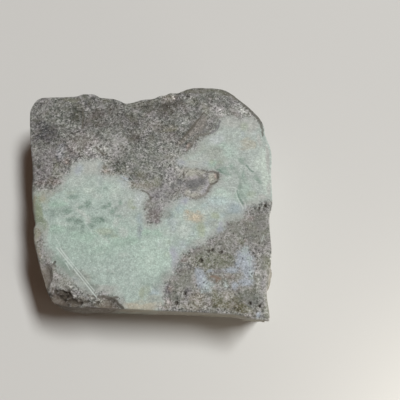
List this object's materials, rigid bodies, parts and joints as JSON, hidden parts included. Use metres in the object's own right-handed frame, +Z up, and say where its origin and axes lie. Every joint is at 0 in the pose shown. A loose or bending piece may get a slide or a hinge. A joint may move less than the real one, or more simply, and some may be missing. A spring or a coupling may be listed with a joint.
{
  "type": "larimar slab",
  "caption": "Flat sawn slab of pale blue-green larimar in grey host rock, with a straight sawn front and a rough natural rim; lies flat as a display or lapidary piece.",
  "frame": {"origin": "middle of the underside's bounding box", "axes": "+Z up through the slab's thickness, +X to the right along the straight sawn front, -Y towards the viewer"},
  "size_m": [0.0808, 0.079, 0.02],
  "materials": {
    "stone": "fine-sawn and matt, pale blue-green pectolite veined through speckled grey basalt; rough weathered rind on the rim"
  },
  "bodies": {
    "root": {"larimar_slab": "stone"}
  },
  "joints": []
}
